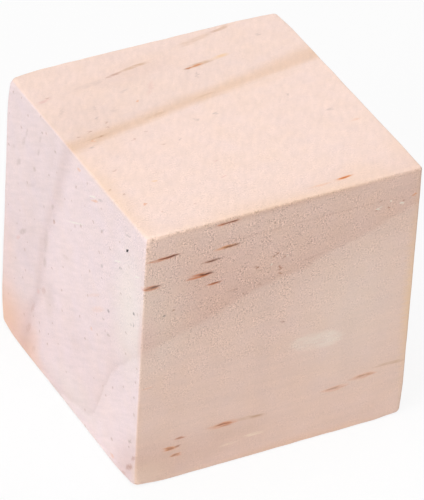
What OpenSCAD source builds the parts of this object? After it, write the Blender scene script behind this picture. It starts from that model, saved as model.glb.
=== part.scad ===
// Solid wooden cube, cut from square softwood stock with the grain along X.
// Its twelve arrises are sanded to one small radius. Its eight corners are worn
// back further and rounded, the most at one corner and the least across from it.
// It stands on its lower face: the origin is that face's centre, and +Z is up.

/* [Block] */
// Length of every side of the cube
side = 30; // [15:1:60]

/* [Arrises] */
// Radius sanded along the arrises
arris_r = 0.3; // [0.1:0.05:1.2]

/* [Corners] */
// Depth worn off a corner along its diagonal, on average
corner_wear = 0.55; // [0:0.05:1.2]
// How much more than the average the bluntest corner has lost
wear_lean = 0.25; // [0:0.05:0.5]

/* [Hidden] */

half = side / 2;
pine = [0.93, 0.82, 0.74];
arris_facets = 64;
cap_facets = 96;

// Each corner is three signs: its end of the grain, its flank and its level
CORNERS = [for (end = [-1, 1], flank = [-1, 1], level = [-1, 1]) [end, flank, level]];

// The corner that has lost the most: at the low end of the grain, back and bottom
BLUNT = [-1, 1, -1];

// Wear of one corner: it falls evenly from the bluntest corner to the one across
function wear(corner) = corner_wear + wear_lean * (corner * BLUNT) / 3;

// Radius of a worn corner. At this many times the wear, the ball that rounds
// the corner runs out on the arrises before it reaches the level of its centre.
CAP_RATIO = 4.5;
function cap_r(corner) = CAP_RATIO * wear(corner);

// Depth of that ball's centre below each of the three faces of its corner
function cap_depth(corner) = (cap_r(corner) + wear(corner)) / sqrt(3);

// Share of that depth that the worn zone takes up: past the end of the wear on
// the arrises, and short of the ball's centre
WORN_SHARE = 0.85;

// Section of the stock: a square with its four corners rounded to the arris radius
module stock_section() {
    flat = side - 2 * arris_r;
    square([flat, side], center = true);
    square([side, flat], center = true);
    for (x = [-1, 1], y = [-1, 1])
        translate([x, y] * (half - arris_r))
            circle(r = arris_r, $fn = arris_facets);
}

// A length of that stock along Z, as long as it is wide
module stock() {
    translate([0, 0, -half])
        linear_extrude(side)
            stock_section();
}

// What three lengths of stock share when each lies along its own axis: a cube
// with all twelve arrises rounded
module sanded_block() {
    intersection() {
        stock();
        rotate([90, 0, 0]) stock();
        rotate([0, 90, 0]) stock();
    }
}

// What is worn off one corner: all of the worn zone that lies outside the ball
module corner_loss(corner) {
    depth = cap_depth(corner);
    zone = WORN_SHARE * depth;
    difference() {
        translate(corner * half)
            cube(2 * zone, center = true);
        translate(corner * (half - depth))
            sphere(r = cap_r(corner), $fn = cap_facets);
    }
}

module wooden_cube() {
    color(pine)
        translate([0, 0, half])
            difference() {
                sanded_block();
                for (corner = CORNERS)
                    if (wear(corner) > 0)
                        corner_loss(corner);
            }
}

wooden_cube();
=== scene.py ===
"""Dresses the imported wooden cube: one sanded block of bare pine, standing on its base.

The block's skin is a box with rounded arrises and worn corners, worked out with numpy.
Its wood is one solid pattern in the block's own coordinates, so a growth ring that meets
an arris carries on over the next face, and the fibres run along X through the whole block.
"""

import logging
import math
from dataclasses import dataclass
from enum import Enum
from itertools import product
from typing import Any

import bpy
import numpy as np
from mathutils import Matrix, Vector


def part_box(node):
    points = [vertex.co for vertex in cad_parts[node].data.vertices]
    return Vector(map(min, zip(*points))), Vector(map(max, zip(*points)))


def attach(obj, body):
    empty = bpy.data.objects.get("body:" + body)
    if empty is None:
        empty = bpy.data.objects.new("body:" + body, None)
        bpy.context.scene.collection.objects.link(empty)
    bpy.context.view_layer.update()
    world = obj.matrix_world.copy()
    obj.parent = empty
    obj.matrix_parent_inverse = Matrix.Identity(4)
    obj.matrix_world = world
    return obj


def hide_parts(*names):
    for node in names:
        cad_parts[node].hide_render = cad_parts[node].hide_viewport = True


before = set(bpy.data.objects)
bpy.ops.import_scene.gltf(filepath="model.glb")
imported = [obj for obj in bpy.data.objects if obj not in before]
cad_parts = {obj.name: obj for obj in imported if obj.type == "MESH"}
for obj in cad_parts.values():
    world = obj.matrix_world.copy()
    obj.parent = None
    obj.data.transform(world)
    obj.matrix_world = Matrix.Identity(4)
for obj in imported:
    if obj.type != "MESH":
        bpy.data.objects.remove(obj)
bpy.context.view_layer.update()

log = logging.getLogger("wooden_cube")

MM = 0.001
NODE = "wooden_cube"

Colour = tuple[float, float, float]
Point = tuple[float, float, float]
# Where a smooth step starts and ends, and its values before and after
Ramp = tuple[float, float, float, float]
Pair = tuple[float, float]
Socket = bpy.types.NodeSocket


def srgb(red: int, green: int, blue: int) -> Colour:
    """Turns a colour written as 0 to 255 display levels into linear light.

    Args:
        red: Display level of red.
        green: Display level of green.
        blue: Display level of blue.

    Returns:
        The three linear values, from 0 to 1.
    """
    levels = np.array([red, green, blue]) / 255
    linear = np.where(levels <= 0.04045, levels / 12.92, ((levels + 0.055) / 1.055) ** 2.4)
    return tuple(float(value) for value in linear)


def add_object(name: str, data: Any) -> bpy.types.Object:
    """Makes an object and puts it in the scene.

    Args:
        name: The object's name.
        data: Its mesh, lamp or camera.

    Returns:
        The object.
    """
    made = bpy.data.objects.new(name, data)
    bpy.context.scene.collection.objects.link(made)
    return made


class Face(Enum):
    """A face of the block: the ways to its right and up, as seen from outside it."""

    FRONT = ((1, 0, 0), (0, 0, 1))
    BACK = ((-1, 0, 0), (0, 0, 1))
    NEAR_END = ((0, -1, 0), (0, 0, 1))
    FAR_END = ((0, 1, 0), (0, 0, 1))
    TOP = ((1, 0, 0), (0, 1, 0))
    BASE = ((1, 0, 0), (0, -1, 0))

    @property
    def right(self) -> np.ndarray:
        """Unit vector to the right on the face."""
        return np.array(self.value[0], float)

    @property
    def up(self) -> np.ndarray:
        """Unit vector up the face."""
        return np.array(self.value[1], float)

    @property
    def out(self) -> np.ndarray:
        """Unit vector out of the wood."""
        return np.cross(self.right, self.up)

    def point(self, right: float, up: float, half: float) -> Point:
        """Gives the place that lies right of and above the face's middle, half from the centre."""
        return tuple(self.right * right + self.up * up + self.out * half)


# ---------------------------------------------------------------- node helpers


class Graph:
    """Adds nodes to one node tree and links them as they are made."""

    def __init__(self, tree: bpy.types.NodeTree) -> None:
        """Keeps the tree that the nodes go into."""
        self.tree = tree

    def put(self, socket: Socket, value: Any) -> None:
        """Links a socket to another one, or sets its own value.

        Args:
            socket: The input to feed.
            value: An output socket, a number, or a tuple of three numbers.
        """
        if isinstance(value, Socket):
            self.tree.links.new(value, socket)
        elif socket.type == "RGBA":
            socket.default_value = (*value, 1)
        else:
            socket.default_value = value

    def add(self, kind: str, inputs: dict[Any, Any], **settings: Any) -> bpy.types.Node:
        """Adds one node.

        Args:
            kind: The node's type, without its ShaderNode prefix.
            inputs: Values or sockets for its inputs, by name or number.
            **settings: Properties of the node.

        Returns:
            The new node.
        """
        node = self.tree.nodes.new("ShaderNode" + kind)
        for name, setting in settings.items():
            setattr(node, name, setting)
        for key, value in inputs.items():
            self.put(node.inputs[key], value)
        return node

    def math(self, operation: str, *values: Any) -> Socket:
        """Adds a Math node and returns its value."""
        return self.add("Math", dict(enumerate(values)), operation=operation).outputs[0]

    def vector(self, operation: str, *values: Any) -> Socket:
        """Adds a Vector Math node and returns its vector, or its value if it gives one."""
        node = self.add("VectorMath", dict(enumerate(values)), operation=operation)
        return node.outputs["Value" if operation in ("LENGTH", "DOT_PRODUCT") else "Vector"]

    def split(self, vector: Any) -> Any:
        """Adds a Separate XYZ node and returns its three outputs, by name."""
        return self.add("SeparateXYZ", {0: vector}).outputs

    def combine(self, **axes: Any) -> Socket:
        """Adds a Combine XYZ node and returns its vector."""
        return self.add("CombineXYZ", axes).outputs[0]

    def step(self, value: Any, start: Any, end: Any, low: Any = 0.0, high: Any = 1.0) -> Socket:
        """Adds a smooth step: low up to start, high past end, and a soft S between them."""
        inputs = {"Value": value, "From Min": start, "From Max": end, "To Min": low, "To Max": high}
        return self.add("MapRange", inputs, interpolation_type="SMOOTHSTEP").outputs["Result"]

    def pick(self, mask: Any, without: Any, within: Any) -> Socket:
        """Adds a soft change from one value outside a mask to another within it."""
        return self.step(mask, 0.0, 1.0, without, within)

    def mix(self, factor: Any, below: Any, above: Any, blend: str = "MIX") -> Socket:
        """Adds a colour mix and returns its colour."""
        inputs = {0: factor, 6: below, 7: above}
        return self.add("Mix", inputs, data_type="RGBA", blend_type=blend).outputs[2]

    def noise(self, vector: Any, scale: Any, detail: float = 2.0, colour: bool = False) -> Socket:
        """Adds a Noise Texture and returns its value, or its colour, about a middle of 0.5."""
        node = self.add("TexNoise", {"Vector": vector, "Scale": scale, "Detail": detail})
        return node.outputs["Color" if colour else "Fac"]

    def stretch(self, vector: Any, scale: Point) -> Socket:
        """Adds a Mapping node that scales a vector along each axis."""
        return self.add("Mapping", {"Vector": vector, "Scale": scale}).outputs[0]


def node_group(name: str, inputs: dict[str, str], outputs: dict[str, str]) -> tuple[Any, Any, Any]:
    """Starts a shader node group.

    Args:
        name: The group's name.
        inputs: Names of its inputs, each with its kind: Float, Vector or Color.
        outputs: Names of its outputs, each with its kind.

    Returns:
        The graph of the group, its inputs as sockets by name, and its output node.
    """
    tree = bpy.data.node_groups.new(name, "ShaderNodeTree")
    for ways, sockets in (("INPUT", inputs), ("OUTPUT", outputs)):
        for label, kind in sockets.items():
            tree.interface.new_socket(label, in_out=ways, socket_type="NodeSocket" + kind)
    given = tree.nodes.new("NodeGroupInput").outputs
    result = tree.nodes.new("NodeGroupOutput")
    return Graph(tree), given, result


# ---------------------------------------------------------------- the block's skin


@dataclass
class SandedBlock:
    """The block's skin: a box whose arrises are sanded round and whose corners are worn."""

    side: float
    arris_r: float = 0.30 * MM
    # Radius of a corner on average, and how it grows towards the bluntest corner
    corner_r: float = 0.755 * MM
    corner_lean: float = 0.115 * MM
    blunt: tuple[int, int, int] = (-1, 1, -1)
    wear_reach: float = 2.2 * MM
    waver_share: float = 0.25
    waver_length: float = 2.6 * MM
    swell: float = 0.025 * MM
    swell_length: float = 11 * MM
    waves: int = 8
    wave_spread: Pair = (0.7, 1.4)
    radius_seed: int = 3
    swell_seed: int = 8
    arris_steps: int = 5
    shoulder: float = 1.5 * MM
    shoulder_steps: int = 9
    flat_steps: int = 98
    weld: float = 1e-8

    @property
    def half(self) -> float:
        """Half of the side."""
        return self.side / 2

    def stations(self) -> np.ndarray:
        """Places the grid lines from one arris to the other.

        Over the rounded arris they stand at even angles: the tangent of the angle, times
        the arris radius, inside the corner of the box. A shoulder of close lines follows,
        for the worn corners, and the flat has even ones.

        Returns:
            Distances from the middle, from minus half to half.
        """
        angles = np.linspace(0, math.pi / 4, self.arris_steps + 1)[1:]
        rounded = self.half - self.arris_r * (1 - np.tan(angles))
        shoulder = self.half - np.linspace(self.shoulder, self.arris_r, self.shoulder_steps + 1)
        end = np.concatenate([shoulder[1:], rounded])
        flat = np.linspace(-shoulder[0], shoulder[0], self.flat_steps + 1)
        return np.concatenate([-end[::-1], flat, end])

    def waver(self, points: np.ndarray, length: float, seed: int) -> np.ndarray:
        """Works out a slow, even wander over space.

        It is the mean of a few sine waves that run in random directions, each about one
        length long, so it is the same for a point however that point is reached.

        Args:
            points: Places, one a row.
            length: The usual wavelength.
            seed: Picks the directions and phases.

        Returns:
            One value a row, between -1 and 1.
        """
        rng = np.random.default_rng(seed)
        ways = rng.normal(size=(self.waves, 3))
        ways /= np.linalg.norm(ways, axis=1, keepdims=True)
        phases = rng.uniform(0, 2 * math.pi, self.waves)
        turns = 2 * math.pi / (length * rng.uniform(*self.wave_spread, self.waves))
        return np.sin(points @ (ways * turns[:, None]).T + phases).mean(axis=1)

    def radius(self, points: np.ndarray) -> np.ndarray:
        """Works out how round the block is near each point.

        It is the arris radius, wavering by a small share along the arrises. Near each
        corner it rises to that corner's own radius, as a bell curve of the distance.

        Args:
            points: Places on the sharp box, one a row.

        Returns:
            One radius a row.
        """
        along = self.waver(points, self.waver_length, self.radius_seed)
        result = self.arris_r * (1 + self.waver_share * along)
        for signs in product((-1, 1), repeat=3):
            worn = self.corner_r + self.corner_lean * np.dot(signs, self.blunt)
            away = np.linalg.norm(points - np.array(signs) * self.half, axis=1)
            result += (worn - self.arris_r) * np.exp(-((away / self.wear_reach) ** 2))
        return result

    def skin(self, points: np.ndarray) -> np.ndarray:
        """Moves points of the sharp box onto the rounded, sanded one.

        Each point is clamped to the box that is smaller by the local radius. The way from
        there to the point gives the normal, and the skin lies one radius along it. The
        sanding then takes a little off: a slow swell between nothing and its full depth.

        Args:
            points: Places on the sharp box, one a row.

        Returns:
            The places on the skin, one a row.
        """
        radius = self.radius(points)[:, None]
        core = np.clip(points, radius - self.half, self.half - radius)
        normal = points - core
        normal /= np.linalg.norm(normal, axis=1, keepdims=True)
        share = 0.5 + 0.5 * self.waver(points, self.swell_length, self.swell_seed)[:, None]
        return core + normal * (radius - self.swell * share)

    def build(self) -> bpy.types.Object:
        """Builds the mesh: a grid on each face, welded along the arrises.

        Returns:
            The block's object, with its base on the ground and its place in its mesh.
        """
        line = self.stations()
        count = len(line)
        right, up = (axis.ravel()[:, None] for axis in np.meshgrid(line, line, indexing="ij"))
        sheets = [face.right * right + face.up * up + face.out * self.half for face in Face]
        box = np.concatenate(sheets)
        first = (np.arange(count - 1)[:, None] * count + np.arange(count - 1)).ravel()
        quad = np.stack([first, first + count, first + count + 1, first + 1], axis=1)
        quads = np.concatenate([quad + sheet * count**2 for sheet in range(len(Face))])
        _, kept, place = np.unique(
            np.round(box / self.weld).astype(np.int64), axis=0, return_index=True, return_inverse=True
        )
        quads = place.reshape(-1)[quads]
        vertices = self.skin(box[kept]) + [0, 0, self.half]

        mesh = bpy.data.meshes.new("sanded_block")
        mesh.from_pydata(vertices.tolist(), [], quads.tolist())
        mesh.shade_smooth()
        mesh.validate()
        return add_object("sanded_block", mesh)


# ---------------------------------------------------------------- marks in the wood


class Tint(Enum):
    """What a mark in the wood is coloured with, in linear light."""

    UMBER = srgb(88, 42, 20)
    BROWN = srgb(172, 109, 76)
    RUST = srgb(202, 112, 56)
    AMBER = srgb(228, 150, 88)
    HONEY = srgb(243, 205, 165)
    GREY = srgb(196, 172, 164)
    ROSE = srgb(226, 176, 166)
    SOOT = srgb(34, 24, 26)
    CHALK = srgb(250, 246, 232)
    CREAM = srgb(255, 236, 212)
    BUFF = srgb(238, 186, 150)
    TAN = srgb(214, 176, 146)
    ASH = srgb(120, 104, 102)


@dataclass(frozen=True)
class Mark:
    """A resin streak, canal mouth, stain, or band of painted shade or highlight on one face, in
    millimetres from its middle.

    Length and width are the whole mark's, and turn is its angle from the face's right, in
    degrees. The heart is the colour of its middle, where that differs from the rest. Depth is
    how far it reaches into the wood, and core the share of it that is full before its edge
    fades. A mark with no core is a cloud, and the grain doesn't fleck it. Streaks and canal
    mouths are thin and shallow, as the usual core and depth say. An open canal is sunk too,
    by a share of the deepest relief.
    """

    face: Face
    right: float
    up: float
    length: float
    width: float
    tint: Tint
    strength: float = 0.8
    turn: float = 0.0
    heart: Tint | None = None
    core: float = 0.3
    depth: float = 0.8
    open_sunk: float = 0.4

    @property
    def sunk(self) -> float:
        """How far it lies below the surface: only open canals do, which are dark."""
        return self.open_sunk if self.tint in (Tint.UMBER, Tint.SOOT) else 0.0


def laid(face: Face, rows: list[tuple], **shared: float) -> list[Mark]:
    """Makes marks on one face, each from a row of its own values and those they share."""
    return [Mark(face, *row, **shared) for row in rows]


UMBER, BROWN, RUST, AMBER, HONEY, GREY, ROSE, SOOT, CHALK, CREAM, BUFF, TAN, ASH = Tint

# A row of these tables gives a mark's right, up, length, width, tint and strength, then its
# turn, heart and core where those aren't the usual ones

# Wide, soft changes of tone along the front's rims and at its corners, with painted light: two grey
# bands up the front are painted shade, and the band along its right rim is a painted highlight
FRONT_CLOUDS = [
    # Painted shade: two faint grey bands up the front
    (-1.4, -3, 27, 3.2, GREY, 0.12, 90),
    (8, -3, 26, 2.8, GREY, 0.08, 90),
    # Painted highlight along the right rim
    (15.1, 0, 34, 3.2, HONEY, 0.75, 90),
    (3, -15, 32, 2.6, BUFF, 0.28),
    (-14.6, 3.2, 9, 5, ROSE, 0.42, 90),
    (-14, -13.6, 8, 5, CREAM, 0.3),
    (0, 14.6, 32, 1.1, BROWN, 0.16),
    (-9, 8.5, 17, 14, BROWN, 0.05),
    (8.5, 0.5, 26, 18, CHALK, 0.14, 90),
    (-6, -12, 18, 8, BROWN, 0.12),
    (-8, 8, 22, 15, ROSE, 0.12, 12),
]
# The top is yellower along its rims and browner behind its ring
TOP_CLOUDS = [
    (0, -15, 36, 5, HONEY, 0.28),
    (-11.5, 4, 22, 13, BROWN, 0.04, 90),
    (-15, -7, 24, 5, HONEY, 0.3, 90),
    (15, -11, 12, 5, HONEY, 0.16, 90),
    (8.5, 4.3, 14, 2.6, HONEY, 0.16, 10),
    (-3, 10.8, 18, 5, BROWN, 0.08, 8),
    (9, -13.5, 10, 6, HONEY, 0.14),
]
# A long scratch below the upper arris, and the chalky patch in three layers
FRONT_STAINS = [
    (2, 12.2, 27, 0.24, BROWN, 0.14),
    (4.4, -2.75, 7, 2.5, CHALK, 0.16, -4),
    (5.8, -2.85, 4, 2.5, CHALK, 0.18, -8),
    (3.1, -2.4, 3.4, 1.7, CHALK, 0.12, 6),
]
# Resin streaks with dark, open hearts, then the pits and crumbs between them
FRONT_STREAKS = [
    (-6.25, 14.43, 3.8, 0.56, RUST, 0.75, 2),
    (-5.9, 14.45, 2.6, 0.28, UMBER, 0.76, 2),
    (-12.85, 12.21, 4.3, 0.66, RUST, 0.92, 1),
    (-12.35, 12.22, 3, 0.36, UMBER, 1, 1),
    (-6.25, 11.62, 3.7, 0.48, AMBER, 0.85, 1),
    (-5.75, 11.63, 2.8, 0.3, UMBER, 0.85, 1),
    (-7.65, 10.44, 2.8, 0.46, BROWN, 0.8, 1),
    (-7.45, 10.45, 2, 0.28, UMBER, 0.9, 1),
    (-14.15, 9.12, 3.1, 0.76, RUST, 1, 1),
    (-13.85, 9.14, 2.4, 0.33, UMBER, 0.85, 1, UMBER, 0.4),
    (-8.95, 9.06, 3.7, 0.8, RUST, 0.97, 1),
    (-8.35, 9.1, 2.9, 0.38, UMBER, 1, 1),
    (-7.5, 7.69, 2.6, 0.4, RUST, 0.85, 1),
    (-7.25, 7.72, 1.7, 0.22, UMBER, 0.5, 1),
    (7.05, -9.35, 3.3, 0.74, AMBER, 0.56, 0, BROWN),
    (10.15, -8.8, 3.7, 0.72, AMBER, 0.62, 0, BROWN),
    (13.1, -8.15, 5, 0.46, TAN, 0.74, -1),
    (-5.4, -9.95, 4.6, 0.84, AMBER, 0.7, 0, RUST),
    (-5.7, -9.9, 2.8, 0.34, BROWN, 0.45, 1, UMBER),
    (-5, -10.18, 2.4, 0.26, BROWN, 0.45, -2),
    (-2.2, -10.05, 4.4, 0.6, TAN, 0.66, -6),
    (-1.6, -10.08, 2.4, 0.26, BROWN, 0.3, -5),
    (-10.05, -10.15, 1.4, 0.46, RUST, 0.7, 0, BROWN),
    (-11.25, -11.15, 1.9, 0.6, AMBER, 0.88, -3, BROWN),
    (-10.35, -11.1, 1, 0.32, BROWN, 0.75, 10),
    (-10.45, -12.1, 1.8, 0.54, AMBER, 0.74, -4, BROWN),
    (-14.1, -2.85, 1.6, 0.32, AMBER, 0.35),
    (-5.25, 6.3, 1.5, 0.3, BROWN, 0.3),
    (3.2, 7.65, 3.4, 0.3, BROWN, 0.16, 8),
    (-12.5, 5.35, 0.42, 0.36, UMBER, 0.7),
    (-11.55, 5.75, 0.44, 0.34, BROWN, 0.8),
    (-2.95, 8.25, 0.6, 0.42, BROWN, 0.85, 10),
    (-0.75, 9.15, 0.45, 0.7, BROWN, 0.8),
    (-0.3, 7.45, 0.5, 0.9, BROWN, 0.7, 20),
    (0.15, 8.55, 0.4, 0.6, BROWN, 0.7, 10),
    (-0.1, 6.75, 0.4, 0.5, BROWN, 0.6),
    (-2.3, 6.1, 0.7, 0.36, BROWN, 0.35),
    (10.1, 11.2, 0.44, 0.4, BROWN, 0.45),
    (11.35, 11.2, 0.4, 0.4, BROWN, 0.55),
    (13.3, 11.6, 0.5, 0.36, BROWN, 0.55),
    (10.25, 12.1, 0.5, 0.34, BROWN, 0.35),
    (-1.1, 8.1, 0.34, 0.34, CHALK, 0.6),
    (0.4, 8.6, 0.4, 0.34, CHALK, 0.5),
    (0.55, 0.75, 0.8, 0.5, BROWN, 0.45, 20),
    (14.3, 12, 0.7, 0.4, AMBER, 0.7),
    (10.35, 11.35, 0.55, 0.48, CHALK, 0.75),
    (13, 11.35, 0.55, 0.48, CHALK, 0.75),
    (11.6, 11.9, 0.4, 0.34, CHALK, 0.55),
    (-1.9, -12.25, 2.8, 0.54, CREAM, 0.55, -4),
    (-4.4, -12.6, 3, 0.5, CREAM, 0.3, 2),
]
# Streaks that lean with the fibres, sanding strokes across them, then specks
TOP_STREAKS = [
    (-8.6, 10.35, 6, 1, GREY, 0.2, 9),
    (-5.3, 11.05, 2.5, 0.62, BROWN, 0.5, 9),
    (-2.75, 11.55, 5.4, 0.68, TAN, 0.8, 10.5),
    (3.3, 9.42, 4.6, 0.92, TAN, 0.85, 8),
    (2.7, 9.3, 2.8, 0.48, AMBER, 0.75, 9, RUST),
    (1.95, 9.15, 1.2, 0.4, BROWN, 0.55, 5),
    (5.9, 9.85, 2.8, 0.7, HONEY, 0.9, 5),
    (2.3, 7.8, 1.6, 0.44, GREY, 0.5, 62),
    (-3.1, 7.6, 3.6, 0.7, ROSE, 0.22, 55),
    (-5.8, 8.1, 1.6, 0.5, GREY, 0.28, 20),
    (-8, 5.6, 1.8, 0.5, GREY, 0.24, 55),
    (-13, 7.2, 2.2, 0.5, GREY, 0.26, 55),
    (-9.6, 6.6, 1.2, 0.44, GREY, 0.34, 60),
    (-11.4, 2, 4.4, 0.44, TAN, 0.55, 8),
    (-4.5, 3.2, 4, 0.44, TAN, 0.45, 10),
    (1.2, 4.3, 3.2, 0.44, TAN, 0.4, 10),
    (5, 13.5, 7, 1.1, TAN, 0.36, 13),
    (7.3, 14.05, 2.4, 0.44, BROWN, 0.2, 13),
    (8.35, 14.25, 2.9, 0.62, TAN, 0.62, 14),
    (7, -13.5, 3, 0.74, BUFF, 0.85, 6, AMBER),
    (6.95, -13.5, 2.2, 0.52, AMBER, 1, 6, RUST),
    (4.4, -13.7, 3, 0.44, BUFF, 0.45, 3),
    (-13.7, 9.55, 3, 0.6, ROSE, 0.4, 14),
    (-12.9, 9.95, 0.9, 0.34, BROWN, 0.35, 14),
    (-12.45, -9.8, 0.6, 0.44, AMBER, 0.9, 60),
    (-3.5, -8.7, 0.44, 0.4, ROSE, 0.6),
    (-3.15, -6.1, 0.44, 0.36, ROSE, 0.8),
    (12.9, -5.2, 1.2, 0.6, BUFF, 0.4),
    (-11.25, 2.05, 0.7, 0.4, BROWN, 0.6, 20),
    (-12.2, 1.6, 0.6, 0.36, AMBER, 0.5, 70),
    (-5.25, 6, 0.6, 0.36, BUFF, 0.8, 30),
    (-1.5, 0.9, 0.6, 0.7, GREY, 0.55),
    (0.85, 1.15, 0.5, 0.65, GREY, 0.5, 70),
    (8.85, 1.2, 0.4, 0.7, GREY, 0.45),
    (11.4, -2.7, 1, 0.7, GREY, 0.45),
    (11.1, 11.85, 0.8, 0.55, GREY, 0.4, 30),
    (-8.5, 0.3, 0.44, 0.44, BROWN, 0.4),
    (-9.9, 3.2, 0.5, 0.34, BROWN, 0.35, 60),
    (-6.4, -1.6, 0.4, 0.34, BROWN, 0.3),
    (-12, 3.1, 0.6, 0.36, BROWN, 0.45, 50),
    (-9.7, 3.9, 0.5, 0.36, BROWN, 0.45, 60),
    (-13.2, 2.7, 0.5, 0.4, BROWN, 0.35),
    (-12.8, 0.7, 0.6, 0.36, GREY, 0.6, 40),
    (-10.2, 4.95, 0.6, 0.4, GREY, 0.6, 60),
    (-12.6, -3.7, 0.5, 0.36, BROWN, 0.35, 30),
    (-4.6, -1.5, 0.5, 0.36, GREY, 0.6, 60),
    (-6.9, 1, 0.44, 0.36, BROWN, 0.3),
    (-13.5, -7.6, 0.44, 0.36, BROWN, 0.5),
    (-14.5, -6.4, 0.6, 0.46, TAN, 0.8),
    (-9.9, -6.8, 0.8, 0.44, HONEY, 0.8, 20),
    (-11.4, -11.5, 0.44, 0.36, BROWN, 0.4),
    (-7.9, -11.6, 0.4, 0.36, BROWN, 0.3),
]
# The near end is orange in its lower left corner and pale along its right side
END_CLOUDS = [
    (-14, -13.6, 16, 13, BUFF, 0.66, 42),
    (-9.5, -11.5, 14, 6, ROSE, 0.18, 55),
    (-8, -14.8, 10, 5, BUFF, 0.4, 5),
    (-14, -5.5, 15, 6, BUFF, 0.14, 90),
    (-10, -1.5, 18, 13, BROWN, 0.045, 90),
    (13.8, -13.2, 13, 8.5, BROWN, 0.22, 55),
    (2, -12.6, 17, 8, CHALK, 0.16),
    (-7.5, -12.5, 7, 4, BUFF, 0.28, 60),
    (-4.4, -4.6, 7, 3.6, GREY, 0.22, 80),
    (12.5, 5, 21, 11, CHALK, 0.36, 90),
    (-9, -13.5, 9, 5, BROWN, 0.1, 60),
]
# Pits and canal mouths, sanding strokes, and shades along the two rings
END_STREAKS = [
    (-3.9, 4.65, 0.8, 0.56, BROWN, 0.6, 40),
    (-4.2, 12.75, 0.6, 0.46, GREY, 0.8, 30),
    (0.9, 13.95, 1.2, 0.5, BUFF, 0.6, 20),
    (0.5, 7.05, 0.6, 0.44, BROWN, 0.32, 30),
    (10.2, 8.5, 1, 0.46, ASH, 0.42, 30),
    (6.4, 6.25, 0.84, 0.52, ASH, 0.38, 45),
    (10.5, 5.7, 0.5, 0.4, GREY, 0.8),
    (13.3, 5.2, 0.6, 0.5, ASH, 0.72),
    (12.85, 3.6, 0.46, 0.4, ASH, 0.45, 45),
    (8.2, 2.05, 0.72, 0.5, ASH, 0.55, 20),
    (11.95, 2, 0.46, 0.38, GREY, 0.8),
    (8.4, -0.7, 0.9, 0.44, GREY, 0.75, 25),
    (7.2, 0.45, 0.7, 0.36, GREY, 0.75, 20),
    (4.85, -2.35, 0.6, 0.5, BUFF, 0.6),
    (4.3, 12.5, 2.4, 0.3, BUFF, 0.7, 27),
    (3.9, 12.75, 2.2, 0.24, CHALK, 0.7, 27),
    (0.6, 7.5, 5.6, 0.26, CHALK, 0.55, 28),
    (9.6, 8.9, 2.6, 0.26, CHALK, 0.7, 30),
    (13.6, 9.7, 1.6, 0.26, CHALK, 0.6, 32),
    (6, 0.75, 4.2, 0.9, BUFF, 0.24, 35),
    (-10.6, -0.9, 3, 0.8, GREY, 0.55, 42),
    (-11.5, -2.2, 1.6, 0.6, ROSE, 0.45, 42),
    (-5.6, -4.8, 1.6, 1, BROWN, 0.24, 50),
    (-5.5, 1.4, 4.4, 1.2, GREY, 0.3, 86),
    (-5.55, -1.3, 1.8, 1, GREY, 0.45, 80),
    (-4.3, 6.2, 1, 0.7, GREY, 0.5, 60),
    (-7.8, -8.4, 2.4, 0.7, BROWN, 0.22, 64),
    (-8.6, -11.4, 2.6, 0.9, BROWN, 0.22, 56),
    (-7.3, -13.2, 1.8, 0.8, BROWN, 0.18, 50),
    (-11, 9.8, 1.8, 0.8, GREY, 0.42, 62),
    (-10.4, 11.2, 1.6, 0.6, GREY, 0.36, 70),
    (-7.5, 12.2, 1.6, 0.6, GREY, 0.36, 66),
    (-7.75, 10.5, 1.4, 0.6, GREY, 0.42, 66),
    (-8.5, 8, 1, 0.7, GREY, 0.5, 50),
    (-7.1, 13.2, 0.6, 0.4, GREY, 0.8, 30),
    (-13.2, 7.8, 1.8, 0.6, GREY, 0.24, 36),
    (-9.2, 5.6, 3.6, 0.6, GREY, 0.22, 34),
    (-1.2, 2.2, 2.2, 0.7, GREY, 0.22, 20),
    (2, -6.2, 4.4, 2, GREY, 0.14, 30),
    (5, 1.8, 4.6, 0.5, BUFF, 0.2, 36),
    (6.1, 10.2, 1.6, 0.5, ASH, 0.26, 40),
    (11.4, 13.1, 1.6, 0.44, ASH, 0.3, 20),
    (5.6, 13.4, 1.2, 0.44, ASH, 0.3, 25),
    (13.4, 3.9, 0.6, 0.44, ASH, 0.5, 70),
    (-6.75, -5.7, 1.1, 0.7, ROSE, 0.4, 45),
    (-12, 6.6, 2.2, 0.9, GREY, 0.42, 50),
    (13.8, -9.9, 1.1, 0.6, GREY, 0.9, 30),
    (13.95, -12.9, 2.6, 0.9, BROWN, 0.5, 42),
    (14.6, -11.4, 1.4, 0.6, BROWN, 0.4, 50),
    (12.9, -14.4, 1.6, 0.6, BROWN, 0.3, 30),
    (10.4, -14.1, 1.3, 0.7, BUFF, 0.5, 10),
]
# In the order in which they are laid, each over those before it
MARKS = [
    *laid(Face.FRONT, FRONT_CLOUDS, core=0.0, depth=1.0),
    *laid(Face.TOP, TOP_CLOUDS, core=0.0, depth=0.5),
    *laid(Face.FRONT, FRONT_STAINS, core=0.6, depth=1.0),
    *laid(Face.FRONT, FRONT_STREAKS),
    *laid(Face.TOP, TOP_STREAKS),
    *laid(Face.NEAR_END, END_CLOUDS, core=0.0, depth=9.0),
    *laid(Face.NEAR_END, [(11.4, 11.35, 0.66, 0.34, SOOT, 2.2, 46)], core=0.7),
    *laid(Face.NEAR_END, END_STREAKS),
]


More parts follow.
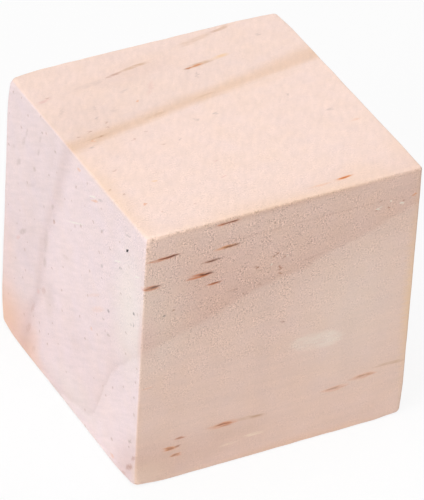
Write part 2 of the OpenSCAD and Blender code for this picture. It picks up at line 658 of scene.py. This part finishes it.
@dataclass(frozen=True)
class MarkGroup:
    """The node group that lays one mark over a colour."""

    name: str = "mark"
    heart: Ramp = (0.12, 0.78, 1.0, 0.0)

    def build(self) -> bpy.types.NodeTree:
        """Builds the group.

        The way from the mark's centre is measured along its length, its width and its depth,
        each as a share of its half size. The mark is full up to its core, and fades out as a
        soft S to nothing where that distance is one. Its heart fills the inner half of that.
        Flecks break up both.

        Returns:
            The group's node tree.
        """
        inputs = {
            "Colour": "Color", "Height": "Float", "Position": "Vector", "Fleck": "Float",
            "Centre": "Vector", "Along": "Vector", "Across": "Vector", "Through": "Vector",
            "Core": "Float", "Tint": "Color", "Heart": "Color", "Strength": "Float", "Sunk": "Float",
        }
        graph, given, result = node_group(self.name, inputs, {"Colour": "Color", "Height": "Float"})
        way = graph.vector("SUBTRACT", given["Position"], given["Centre"])
        axes = {"X": "Along", "Y": "Across", "Z": "Through"}
        shares = {axis: graph.vector("DOT_PRODUCT", way, given[name]) for axis, name in axes.items()}
        away = graph.vector("LENGTH", graph.combine(**shares))
        cover = graph.step(away, given["Core"], 1.0, 1.0, 0.0)
        cover = graph.math("MULTIPLY", cover, given["Fleck"])
        shown = graph.math("MULTIPLY", cover, given["Strength"])
        sunk = graph.math("MULTIPLY", cover, given["Sunk"])
        inner = graph.math("MULTIPLY", graph.step(away, *self.heart), given["Fleck"])
        tint = graph.mix(inner, given["Tint"], given["Heart"])
        graph.put(result.inputs["Colour"], graph.mix(shown, given["Colour"], tint))
        graph.put(result.inputs["Height"], graph.math("SUBTRACT", given["Height"], sunk))
        return graph.tree


# ---------------------------------------------------------------- small grain


@dataclass(frozen=True)
class CanalGroup:
    """The node group that gives the mouths and runs of the resin canals in the wood."""

    name: str = "resin_canals"
    spacing: float = 2.0
    least_radius: float = 0.5
    edge: Ramp = (0.3, 1.0, 1.0, 0.0)

    def build(self) -> bpy.types.NodeTree:
        """Builds the group.

        The canals run along the fibres. Across the fibres they are scattered one to a cell
        of a Voronoi pattern, and only some cells have one. A cut across the fibres shows a
        dot, and a cut nearly along them shows a streak.

        Returns:
            The group's node tree.
        """
        inputs = {"Across": "Vector", "Share": "Float", "Radius": "Float"}
        graph, given, result = node_group(self.name, inputs, {"Mask": "Float"})
        pattern = {"Vector": given["Across"], "Scale": 1 / self.spacing}
        cells = graph.add("TexVoronoi", pattern, voronoi_dimensions="2D").outputs
        lot = graph.add("SeparateColor", {0: cells["Color"]}).outputs
        chosen = graph.math("LESS_THAN", lot[0], given["Share"])
        reach = graph.math("ADD", lot[1], self.least_radius)
        reach = graph.math("MULTIPLY", given["Radius"], reach)
        away = graph.math("DIVIDE", graph.math("MULTIPLY", cells["Distance"], self.spacing), reach)
        mask = graph.math("MULTIPLY", graph.step(away, *self.edge), chosen)
        graph.put(result.inputs["Mask"], mask)
        return graph.tree


@dataclass(frozen=True)
class SpeckGroup:
    """The node group that gives fine grit and pale specks, as cut fibres leave them, with a painted
    highlight on the crumbs and painted shade in the pits.
    """

    name: str = "specks"
    tint: Colour = (0.93, 0.79, 0.70)
    patches: float = 0.8
    thickness: Ramp = (0.40, 0.62, 0.40, 1.25)
    crumbs: Ramp = (0.52, 0.70, 0.0, 1.0)
    pits: Ramp = (0.48, 0.32, 0.0, 1.0)
    # How much paler a crumb is painted, partly as a highlight, and how much darker a pit is painted,
    # as shade
    crumb_paleness_and_highlight: float = 0.18
    pit_shade: float = 0.20

    def build(self) -> bpy.types.NodeTree:
        """Builds the group from one fine noise, thick in some patches and thin in others.

        The highest parts of the noise are crumbs that stand up, and the lowest are pits.
        Relief is one for a crumb and minus one for a pit. Light is what they add to the colour: the
        crumbs are pale fibres and a painted highlight, and the pits are painted shade, tinted so that
        it looks grey and the wood stays as warm as it is.

        Returns:
            The group's node tree.
        """
        inputs = {"Position": "Vector", "Scale": "Float", "Amount": "Float"}
        graph, given, result = node_group(self.name, inputs, {"Light": "Color", "Relief": "Float"})
        grit = graph.noise(given["Position"], given["Scale"], 1.0)
        patch = graph.step(graph.noise(given["Position"], self.patches), *self.thickness)
        amount = graph.math("MULTIPLY", patch, given["Amount"])
        crumb = graph.math("MULTIPLY", graph.step(grit, *self.crumbs), amount)
        pit = graph.math("MULTIPLY", graph.step(grit, *self.pits), amount)
        graph.put(result.inputs["Relief"], graph.math("SUBTRACT", crumb, pit))
        # Painted highlight on the crumbs and painted shade in the pits
        light = graph.math("MULTIPLY", crumb, self.crumb_paleness_and_highlight)
        light = graph.math("MULTIPLY_ADD", pit, -self.pit_shade, light)
        graph.put(result.inputs["Light"], graph.vector("MULTIPLY", self.tint, light))
        return graph.tree


# ---------------------------------------------------------------- growth rings


@dataclass(frozen=True)
class GrowthRings:
    """The two growth rings that cross the block, in millimetres from its centre.

    Each ring is drawn once, as the curve that it makes across the fibres at the middle of
    the block. The fibres carry that curve along X, rising slowly towards the back.
    """

    name: str = "growth_rings"
    lean: float = 0.17
    climb: float = 0.02
    reach: float = 20.0
    # Distance to the back at which the inner ring stands, for each height
    inner: tuple[Pair, ...] = (
        (20.0, 2.45), (15.0, 3.65), (9.0, 5.4), (3.0, 7.7), (-0.5, 8.3), (-3.6, 8.4), (-6.0, 8.9),
        (-8.8, 10.7), (-12.0, 11.1), (-20.0, 12.6),
    )
    # Its edge, which is softer at the ends of the block
    inner_edge: Pair = (-0.85, 0.25)
    end_softness: float = 0.5
    # Its dense line, whose width grows along X, and its shade, which fades inwards and along X
    inner_width: Ramp = (4.0, 15.0, 1.9, 2.9)
    end_width: float = 0.1
    inner_line: Ramp = (0.2, 1.0, 1.0, 0.0)
    inner_depth: Ramp = (1.0, 9.0, 1.0, 0.5)
    inner_run: Ramp = (-14.0, 16.0, 1.0, 0.4)
    # Height at which the outer ring stands, for each distance to the back
    outer: tuple[Pair, ...] = (
        (-20.0, 15.0), (-17.5, 10.9), (-15.0, 6.2), (-12.5, 2.3), (-10.3, -0.6), (-8.0, -2.8),
        (-5.8, -5.8), (-4.5, -9.6), (-3.2, -11.9), (1.0, -13.1), (4.0, -14.3), (12.0, -17.0),
        (20.0, -19.5),
    )
    # Its edge, how fast its line dies out on the sides and how much faster on the ends, how
    # deep its shade goes, and the dawn in the pale wood beyond it
    outer_edge: Pair = (-0.4, 0.35)
    outer_rate: float = -0.32
    end_rate: float = -0.42
    outer_depth: Ramp = (4.0, 17.0, 1.0, 0.0)
    dawn: Pair = (-4.5, -0.2)

    def curve(self, graph: Graph, value: Any, points: tuple[Pair, ...]) -> Socket:
        """Adds a smooth curve through the points, from one distance to another.

        Args:
            graph: Where the nodes go.
            value: The socket that gives the first distance.
            points: Pairs of first and second distance.

        Returns:
            The socket that gives the second distance.
        """
        share = graph.math("MULTIPLY_ADD", value, 0.5 / self.reach, 0.5)
        node = graph.add("FloatCurve", {"Value": share})
        drawn = node.mapping.curves[0].points
        places = sorted((0.5 + x * 0.5 / self.reach, 0.5 + y * 0.5 / self.reach) for x, y in points)
        for spot, place in zip(drawn, (places[0], places[-1])):
            spot.location = place
        for place in places[1:-1]:
            drawn.new(*place)
        node.mapping.update()
        return graph.math("MULTIPLY_ADD", node.outputs[0], 2 * self.reach, -self.reach)

    def build(self) -> bpy.types.NodeTree:
        """Builds the group that says how deep into each ring a place is.

        A ring darkens slowly from its inner side outwards, and ends soon against the next
        year's pale wood. So the distance inside each ring's outer edge gives a dense line
        next to that edge, and a wide, weak shade behind it. The outer ring also shades the
        first few millimetres of the pale wood beyond it, which is its dawn.

        Returns:
            The group's node tree.
        """
        inputs = {"Position": "Vector", "End": "Float"}
        names = ("Inner Shade", "Inner Band", "Outer Dawn", "Outer Shade", "Outer Band")
        graph, given, result = node_group(self.name, inputs, dict.fromkeys(names, "Float"))
        spot = graph.split(given["Position"])
        back = graph.math("MULTIPLY_ADD", spot["X"], -self.lean, spot["Y"])
        rise = graph.math("MULTIPLY_ADD", spot["X"], -self.climb, spot["Z"])

        inside = graph.math("SUBTRACT", back, self.curve(graph, rise, self.inner))
        start, full = self.inner_edge
        inner_edge = graph.step(
            inside,
            graph.math("MULTIPLY_ADD", given["End"], -self.end_softness, start),
            graph.math("MULTIPLY_ADD", given["End"], self.end_softness, full),
        )
        width = graph.math("MULTIPLY_ADD", given["End"], self.end_width, 1.0)
        width = graph.math("MULTIPLY", graph.step(spot["X"], *self.inner_width), width)
        inner_line = graph.step(graph.math("DIVIDE", inside, width), *self.inner_line)
        inner_shade = graph.math(
            "MULTIPLY", graph.step(inside, *self.inner_depth), graph.step(spot["X"], *self.inner_run)
        )

        inside = graph.math("SUBTRACT", rise, self.curve(graph, back, self.outer))
        outer_edge = graph.step(inside, *self.outer_edge)
        rate = graph.math("MULTIPLY_ADD", given["End"], self.end_rate, self.outer_rate)
        outer_line = graph.math("MULTIPLY", graph.math("MAXIMUM", inside, 0.0), rate)
        outer_line = graph.math("EXPONENT", outer_line)
        outer_shade = graph.step(inside, *self.outer_depth)
        for name, edge, fade in (
            ("Inner Band", inner_edge, inner_line),
            ("Inner Shade", inner_edge, inner_shade),
            ("Outer Band", outer_edge, outer_line),
            ("Outer Shade", outer_edge, outer_shade),
            ("Outer Dawn", graph.step(inside, *self.dawn), outer_shade),
        ):
            graph.put(result.inputs[name], graph.math("MULTIPLY", edge, fade))
        return graph.tree


# ---------------------------------------------------------------- the finish


@dataclass
class WoodSpace:
    """What the finish reads at each place: positions in millimetres, and where it is."""

    plain: Socket
    ragged: Socket
    fibre: Socket
    grain: Socket
    end: Socket
    flank: Socket
    placed: Socket
    arris: Socket
    fuzz: Socket
    rim: Socket


@dataclass(frozen=True)
class BarePine:
    """The finish of the block: bare, sanded pine, in linear light and millimetres."""

    half: float
    rings: GrowthRings = GrowthRings()
    light: Colour = srgb(247, 220, 208)
    inner_shade: Colour = (0.945, 0.945, 0.940)
    inner_band: Colour = (0.932, 0.864, 0.760)
    inner_end_band: Colour = (0.942, 0.914, 0.904)
    outer_dawn: Colour = (0.968, 0.966, 0.962)
    outer_shade: Colour = (1.000, 0.988, 0.985)
    outer_band: Colour = (0.925, 0.878, 0.860)
    outer_end_band: Colour = (0.902, 0.879, 0.864)
    # End grain: its own paler, pinker colour, and partly a painted cool light like the left lamp's
    end_grain_and_cool_light_tint: Colour = (0.936, 0.988, 1.115)
    # Painted shade: the long-grain sides are made darker and warmer than the top
    flank_painted_shade: Colour = (0.890, 0.843, 0.802)
    # Arrises painted paler and warmer: sanded wear, and a painted highlight along the edges
    arris_wear_and_highlight: Colour = (1.020, 1.015, 0.985)
    # Painted shade on the arrises next to the ends, to hold down the highlight that they catch
    end_arris_painted_shade: Colour = (0.965, 0.960, 0.975)
    # How far each face's own look blends round an arris, and how wide the arris itself shows
    rounding: float = 0.12
    arris_fade: Ramp = (0.1, 0.8, 1.0, 0.0)
    rim_width: Pair = (0.6, 0.05)
    # Cells a millimetre of each noise, and the millimetres by which it shifts a position
    ragged_scale: Point = (0.5, 4.0, 4.0)
    ragged_shift: Point = (1.6, 0.34, 0.34)
    fibre_scale: Point = (0.08, 0.30, 0.30)
    fibre_shift: Point = (1.2, 1.2, 1.2)
    grain_scale: Point = (0.9, 5.0, 5.0)
    # Strokes of the sander and the saw, fibres, mottle and cloud: their sizes, and how much
    # each changes the tone
    stroke_turn: float = 58.0
    stroke_size: Point = (1.3, 0.50, 1.0)
    saw_turn: float = 30.0
    saw_size: Point = (1.0, 3.0, 0.45)
    vein_scale: Point = (0.12, 1.6, 1.6)
    vein_share: float = 0.6
    fine_tone: float = 0.18
    mottle_scale: float = 2.2
    mottle_tone: float = 0.08
    cloud_scale: float = 0.4
    cloud_tone: float = 0.10
    cloud_warmth: float = 0.10
    cloud_redness: float = 0.3
    # Canals that no mark stands for
    canal: Colour = srgb(178, 140, 122)
    canal_share: float = 0.45
    canal_radius: float = 0.17
    canal_strength: Pair = (0.75, 0.42)
    canal_relief: float = -0.3
    # Grit: thickest at one place, and how much of it the top, the ends and the flanks have
    fuzz_centre: Point = (-9.0, -15.0, 10.0)
    fuzz_spread: Point = (0.55, 1.0, 1.0)
    fuzz_fade: Ramp = (2.0, 19.0, 1.0, 0.18)
    grit_scale: float = 6.0
    grit_shares: Point = (0.42, 0.60, 1.10)
    grit_least: float = 0.05
    grit_relief: float = 0.8
    grain_relief: float = 0.3
    # How the grain breaks up the marks, and the trace of colour in their position
    flecks: Ramp = (0.32, 0.58, 0.45, 1.0)
    trace: float = 0.001
    roughness: Ramp = (0.3, 0.7, 0.57, 0.67)
    specular: float = 0.35
    bump_depth: float = 0.02 * MM

    def shaken(self, graph: Graph, spot: Any, scale: Point, amount: Point) -> Socket:
        """Shifts a position by a noise.

        Args:
            graph: Where the nodes go.
            spot: The position.
            scale: How fine the noise is along each axis, in cells a millimetre.
            amount: The size of the shift along each axis, in millimetres.

        Returns:
            The shifted position.
        """
        noise = graph.noise(graph.stretch(spot, scale), 1.0, colour=True)
        even = graph.vector("SUBTRACT", noise, (0.5, 0.5, 0.5))
        return graph.vector("ADD", spot, graph.vector("MULTIPLY", even, amount))

    def on_face(self, graph: Graph, toward: Any, side: Any, other: Any) -> Socket:
        """Gives one on the faces where the first distance is the largest, blended at arrises."""
        lead = graph.math("SUBTRACT", toward, graph.math("MAXIMUM", side, other))
        return graph.step(lead, -self.rounding, self.rounding)

    def space(self, graph: Graph) -> WoodSpace:
        """Works out the positions and the masks that tell the faces and arrises apart.

        At an arris the two largest of the three distances from the centre are both near half
        the side, so the middle one of the three says how far off the nearest arris is.

        Args:
            graph: Where the nodes go.

        Returns:
            The sockets.
        """
        place = graph.add("TexCoord", {}).outputs["Object"]
        centred = {"Vector": place, "Location": (0, 0, -self.half), "Scale": (1 / MM,) * 3}
        plain = graph.add("Mapping", centred).outputs[0]
        signed = graph.split(plain)
        away = graph.split(graph.vector("ABSOLUTE", plain))
        x, y, z = away["X"], away["Y"], away["Z"]
        front = self.on_face(graph, graph.math("MULTIPLY", signed["Y"], -1.0), x, z)
        top = self.on_face(graph, signed["Z"], x, y)
        wider = graph.math("MINIMUM", graph.math("MAXIMUM", x, y), z)
        middle = graph.math("MAXIMUM", graph.math("MINIMUM", x, y), wider)

        ragged = self.shaken(graph, plain, self.ragged_scale, self.ragged_shift)
        fuzz = graph.vector("SUBTRACT", plain, self.fuzz_centre)
        fuzz = graph.vector("MULTIPLY", fuzz, self.fuzz_spread)
        start, full = self.rim_width
        return WoodSpace(
            plain=plain,
            ragged=ragged,
            fibre=self.shaken(graph, ragged, self.fibre_scale, self.fibre_shift),
            grain=graph.noise(graph.stretch(plain, self.grain_scale), 1.0),
            end=self.on_face(graph, x, y, z),
            flank=self.on_face(graph, y, x, z),
            placed=graph.math("ADD", front, top),
            arris=graph.math("SUBTRACT", self.half, middle),
            fuzz=graph.step(graph.vector("LENGTH", fuzz), *self.fuzz_fade),
            rim=graph.step(x, self.half - start, self.half - full),
        )

    def wood_colour(self, graph: Graph, space: WoodSpace) -> Socket:
        """Colours the clean wood: its growth rings, its ends partly tinted by a painted cool light,
        its sides darkened by painted shade, its arrises made paler by wear and a painted highlight and
        darker near the ends by painted shade, and its slow changes of tone.

        Args:
            graph: Where the nodes go.
            space: Where each place is.

        Returns:
            The colour.
        """
        inputs = {"Position": space.fibre, "End": space.end}
        rings = graph.add("Group", inputs, node_tree=self.rings.build()).outputs
        arris = graph.step(space.arris, *self.arris_fade)
        colour = self.light
        for share, tint in (
            (rings["Inner Shade"], self.inner_shade),
            (rings["Outer Dawn"], self.outer_dawn),
            (rings["Outer Shade"], self.outer_shade),
            (rings["Inner Band"], graph.mix(space.end, self.inner_band, self.inner_end_band)),
            (rings["Outer Band"], graph.mix(space.end, self.outer_band, self.outer_end_band)),
            # These four rows paint light: a cool light on the ends, shade on the sides, a highlight on
            # the arrises, and shade on the arrises near the ends
            (space.end, self.end_grain_and_cool_light_tint),
            (space.flank, self.flank_painted_shade),
            (arris, self.arris_wear_and_highlight),
            (graph.math("MULTIPLY", arris, space.rim), self.end_arris_painted_shade),
        ):
            colour = graph.mix(share, colour, tint, "MULTIPLY")
        return graph.vector("MULTIPLY", colour, self.tone(graph, space))

    def tone(self, graph: Graph, space: WoodSpace) -> Socket:
        """Works out the small changes of tone: fibres on the flanks, strokes on the rest.

        The strokes are what the saw and the sander left. They lean one way on the top and
        another on the ends. A slower cloud changes both the tone and how warm it is.

        Args:
            graph: Where the nodes go.
            space: Where each place is.

        Returns:
            The factor for each of the three colours, about a middle of one.
        """
        strokes = []
        for turn, size in (
            ((0, 0, self.stroke_turn), self.stroke_size),
            ((-self.saw_turn, 0, 0), self.saw_size),
        ):
            inputs = {"Vector": space.plain, "Rotation": tuple(map(math.radians, turn)), "Scale": size}
            strokes.append(graph.add("Mapping", inputs, vector_type="TEXTURE").outputs[0])
        inputs = {0: space.end, 4: strokes[0], 5: strokes[1]}
        sawn = graph.noise(graph.add("Mix", inputs, data_type="VECTOR").outputs[1], 1.0, 3.0)
        veins = graph.noise(graph.stretch(space.plain, self.vein_scale), 1.0, 3.0)
        veins = graph.math("MULTIPLY_ADD", veins, self.vein_share, 0.5 - 0.5 * self.vein_share)
        fine = graph.add("Mix", {0: space.flank, 2: sawn, 3: veins}).outputs[0]
        cloud = graph.noise(space.plain, self.cloud_scale, 3.0, colour=True)
        cloud = graph.add("SeparateColor", {0: cloud}).outputs
        level = 1.0
        for value, amount in (
            (fine, self.fine_tone),
            (graph.noise(space.plain, self.mottle_scale, 3.0), self.mottle_tone),
            (cloud[0], self.cloud_tone),
        ):
            level = graph.math("MULTIPLY_ADD", graph.math("SUBTRACT", value, 0.5), amount, level)
        warmth = graph.math("MULTIPLY", graph.math("SUBTRACT", cloud[1], 0.5), self.cloud_warmth)
        red = graph.math("MULTIPLY_ADD", warmth, self.cloud_redness, 1.0)
        blue = graph.math("SUBTRACT", 1.0, warmth)
        return graph.vector("MULTIPLY", graph.combine(X=red, Y=1.0, Z=blue), level)

    def small_grain(self, graph: Graph, space: WoodSpace, colour: Socket) -> tuple[Socket, Socket]:
        """Lays canals and specks over the wood.

        The canals keep to the fibres, which lean towards the back as they run along X. The front and
        the top have none of these, because their canals are all listed as marks.

        Args:
            graph: Where the nodes go.
            space: Where each place is.
            colour: The clean wood's colour.

        Returns:
            The colour and the relief, where one is the deepest that the bump shows.
        """
        fibre = graph.split(space.fibre)
        along = graph.split(space.plain)["X"]
        across = graph.math("MULTIPLY_ADD", along, -self.rings.lean, fibre["Y"])
        inputs = {
            "Across": graph.combine(X=across, Y=fibre["Z"]),
            "Share": self.canal_share,
            "Radius": self.canal_radius,
        }
        canals = graph.add("Group", inputs, node_tree=CanalGroup().build()).outputs["Mask"]
        mask = graph.math("MULTIPLY", canals, graph.math("SUBTRACT", 1.0, space.placed))
        strength = graph.math("MULTIPLY", mask, graph.pick(space.end, *self.canal_strength))
        colour = graph.mix(strength, colour, self.canal)
        height = graph.math("MULTIPLY", mask, self.canal_relief)

        top, end, flank = self.grit_shares
        share = graph.pick(space.flank, graph.pick(space.end, top, end), flank)
        inputs = {
            "Position": space.plain,
            "Scale": self.grit_scale,
            "Amount": graph.math("MULTIPLY_ADD", space.fuzz, share, self.grit_least),
        }
        specks = graph.add("Group", inputs, node_tree=SpeckGroup().build()).outputs
        colour = graph.vector("ADD", colour, specks["Light"])
        height = graph.math("MULTIPLY_ADD", specks["Relief"], self.grit_relief, height)
        return colour, graph.math("MULTIPLY_ADD", space.grain, self.grain_relief, height)

    def marks(self, graph: Graph, space: WoodSpace, colour: Any, height: Any) -> tuple[Any, Any]:
        """Lays every placed mark over the wood, one after the other.

        The marks' position takes in a trace of the colour below them, far too small to see.
        That colour then has to be finished before the first mark is begun, which keeps what
        has to be held at one time small. It isn't so for the marks that change the relief.

        Args:
            graph: Where the nodes go.
            space: Where each place is.
            colour: The wood's colour below the marks.
            height: The wood's relief below the marks.

        Returns:
            The colour and the relief with the marks in them.
        """
        tree = MarkGroup().build()
        fleck = graph.step(space.grain, *self.flecks)
        after = graph.vector("MULTIPLY_ADD", colour, (self.trace,) * 3, space.ragged)
        for mark in MARKS:
            out = Vector(mark.face.out)
            along = Matrix.Rotation(math.radians(mark.turn), 3, out) @ Vector(mark.face.right)
            node = graph.add("Group", {
                "Colour": colour,
                "Position": space.ragged if mark.sunk else after,
                "Fleck": fleck if mark.core else 1.0,
                "Centre": mark.face.point(mark.right, mark.up, self.half),
                "Along": tuple(along / (mark.length / 2)),
                "Across": tuple(out.cross(along) / (mark.width / 2)),
                "Through": tuple(out / mark.depth),
                "Core": mark.core,
                "Tint": mark.tint.value,
                "Heart": (mark.heart or mark.tint).value,
                "Strength": mark.strength,
            }, node_tree=tree)
            colour = node.outputs["Colour"]
            if mark.sunk:
                graph.put(node.inputs["Height"], height)
                graph.put(node.inputs["Sunk"], mark.sunk)
                height = node.outputs["Height"]
        return colour, height

    def build(self) -> bpy.types.Material:
        """Builds the material.

        Returns:
            The material, with one Principled shader.
        """
        material = bpy.data.materials.new("sanded_pine")
        material.use_nodes = True
        graph = Graph(material.node_tree)
        shader = material.node_tree.nodes["Principled BSDF"]
        space = self.space(graph)
        colour = self.wood_colour(graph, space)
        colour, height = self.small_grain(graph, space, colour)
        colour, height = self.marks(graph, space, colour, height)
        graph.put(shader.inputs["Base Color"], colour)
        graph.put(shader.inputs["Roughness"], graph.step(space.grain, *self.roughness))
        shader.inputs["Specular IOR Level"].default_value = self.specular
        bump = graph.add("Bump", {"Strength": 1.0, "Distance": self.bump_depth, "Height": height})
        graph.put(shader.inputs["Normal"], bump.outputs[0])
        return material


# ---------------------------------------------------------------- the studio


@dataclass(frozen=True)
class Softbox:
    """A square soft light that faces the block: where it hangs, and how it shines."""

    name: str
    place: Point
    size: float
    power: float
    colour: Colour = (1.0, 1.0, 1.0)

    def build(self, aim: Vector) -> None:
        """Hangs the light and turns it to a point.

        Args:
            aim: The point that the light faces.
        """
        lamp = bpy.data.lights.new(self.name, "AREA")
        lamp.shape = "SQUARE"
        lamp.size = self.size
        lamp.energy = self.power
        lamp.color = self.colour
        box = add_object(self.name, lamp)
        box.location = self.place
        box.rotation_euler = (aim - Vector(self.place)).to_track_quat("-Z", "Y").to_euler()
        box.visible_camera = False


@dataclass
class Studio:
    """The floor, the soft light and the camera around the block."""

    centre: Vector
    side: float
    floor_half: float = 1.5
    floor_gap: float = 0.02 * MM
    floor_colour: Colour = (0.88, 0.88, 0.88)
    floor_white: float = 0.86
    ambient: float = 0.19
    azimuth: float = -29.65
    elevation: float = 35.75
    roll: float = 3.53
    distance_in_sides: float = 15.9
    lens: float = 347.2
    aim_right: float = 0.5855 * MM
    aim_down: float = 0.39 * MM
    clip_start: float = 0.01
    boxes: tuple[Softbox, ...] = (
        Softbox("overhead_box", (-0.15, -0.14, 0.75), 0.6, 3.95, (1.0, 0.98, 0.98)),
        Softbox("left_box", (-0.75, -0.28, 0.35), 0.6, 3.57, (0.94, 0.98, 1.0)),
        Softbox("right_box", (0.70, 0.50, 0.35), 0.6, 1.9),
        Softbox("front_box", (0.30, -0.80, 0.30), 0.6, 0.54),
    )

    def seen(self, graph: Graph, ray: Any) -> Socket:
        """Adds a mask of what the camera sees, straight on or by way of a shine or glass."""
        direct = graph.math("MAXIMUM", ray["Is Camera Ray"], ray["Is Glossy Ray"])
        return graph.math("MAXIMUM", direct, ray["Is Transmission Ray"])

    def floor_material(self) -> bpy.types.Material:
        """Builds the floor's material: pale, and nearly white to the camera, but for shadow.

        Returns:
            The material.
        """
        material = bpy.data.materials.new("studio_floor")
        material.use_nodes = True
        tree = material.node_tree
        tree.nodes.clear()
        graph = Graph(tree)
        pale = graph.add("BsdfDiffuse", {"Color": self.floor_colour}).outputs[0]
        white = graph.add("Emission", {"Color": (1, 1, 1), "Strength": 1.0}).outputs[0]
        ray = graph.add("LightPath", {}).outputs
        share = graph.math("MULTIPLY", self.seen(graph, ray), self.floor_white)
        mixed = graph.add("MixShader", {0: share, 1: pale, 2: white}).outputs[0]
        under = graph.add("BsdfTransparent", {}).outputs[0]
        behind = graph.add("NewGeometry", {}).outputs["Backfacing"]
        behind = graph.math("MULTIPLY", behind, ray["Is Camera Ray"])
        surface = graph.add("MixShader", {0: behind, 1: mixed, 2: under}).outputs[0]
        output = graph.add("OutputMaterial", {"Surface": surface})
        output.is_active_output = True
        return material

    def floor(self) -> None:
        """Lays the floor, a hair below the block's base."""
        mesh = bpy.data.meshes.new("floor")
        reach = self.floor_half
        corners = [(-reach, -reach), (reach, -reach), (reach, reach), (-reach, reach)]
        mesh.from_pydata([(x, y, -self.floor_gap) for x, y in corners], [], [(0, 1, 2, 3)])
        mesh.materials.append(self.floor_material())
        floor = add_object("floor", mesh)

    def world(self) -> None:
        """Sets an even, low light all round, and white where the camera sees past the floor."""
        world = bpy.data.worlds.new("studio")
        world.use_nodes = True
        bpy.context.scene.world = world
        tree = world.node_tree
        tree.nodes.clear()
        graph = Graph(tree)
        seen = self.seen(graph, graph.add("LightPath", {}).outputs)
        dim = graph.add("Background", {"Color": (1, 1, 1), "Strength": self.ambient}).outputs[0]
        white = graph.add("Background", {"Color": (1, 1, 1), "Strength": 1.0}).outputs[0]
        surface = graph.add("MixShader", {0: seen, 1: dim, 2: white}).outputs[0]
        graph.add("OutputWorld", {"Surface": surface})

    def camera(self) -> None:
        """Stands the camera off the front corner, looking down, with a slight roll."""
        turn = math.radians(self.azimuth)
        tip = math.radians(self.elevation)
        back = Vector((math.sin(turn) * math.cos(tip), -math.cos(turn) * math.cos(tip), math.sin(tip)))
        level = (-back).cross(Vector((0, 0, 1))).normalized()
        right = Matrix.Rotation(math.radians(self.roll), 3, back) @ level
        up = back.cross(right)
        eye = self.centre + back * self.distance_in_sides * self.side
        eye += right * self.aim_right - up * self.aim_down
        data = bpy.data.cameras.new("camera")
        data.lens = self.lens
        data.clip_start = self.clip_start
        camera = add_object("camera", data)
        camera.matrix_world = Matrix.LocRotScale(
            eye, Matrix((right, up, back)).transposed().to_quaternion(), None
        )
        bpy.context.scene.camera = camera

    def build(self) -> None:
        """Builds the floor, the lights, the world and the camera."""
        self.floor()
        for box in self.boxes:
            box.build(self.centre)
        self.world()
        self.camera()


def main() -> None:
    """Builds the block, its finish and the studio."""
    logging.basicConfig(level=logging.INFO, format="%(name)s: %(message)s")
    low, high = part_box(NODE)
    side = high.z - low.z
    block = SandedBlock(side=side)
    piece = block.build()
    piece.data.materials.append(BarePine(half=block.half / MM).build())
    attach(piece, "root")
    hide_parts(NODE)
    log.info("%s: %d faces", piece.name, len(piece.data.polygons))

    Studio(centre=(low + high) / 2, side=side).build()
    bpy.context.scene.view_settings.view_transform = "Standard"
    log.info("studio: floor, soft boxes, world and camera")


if __name__ == "__main__":
    main()
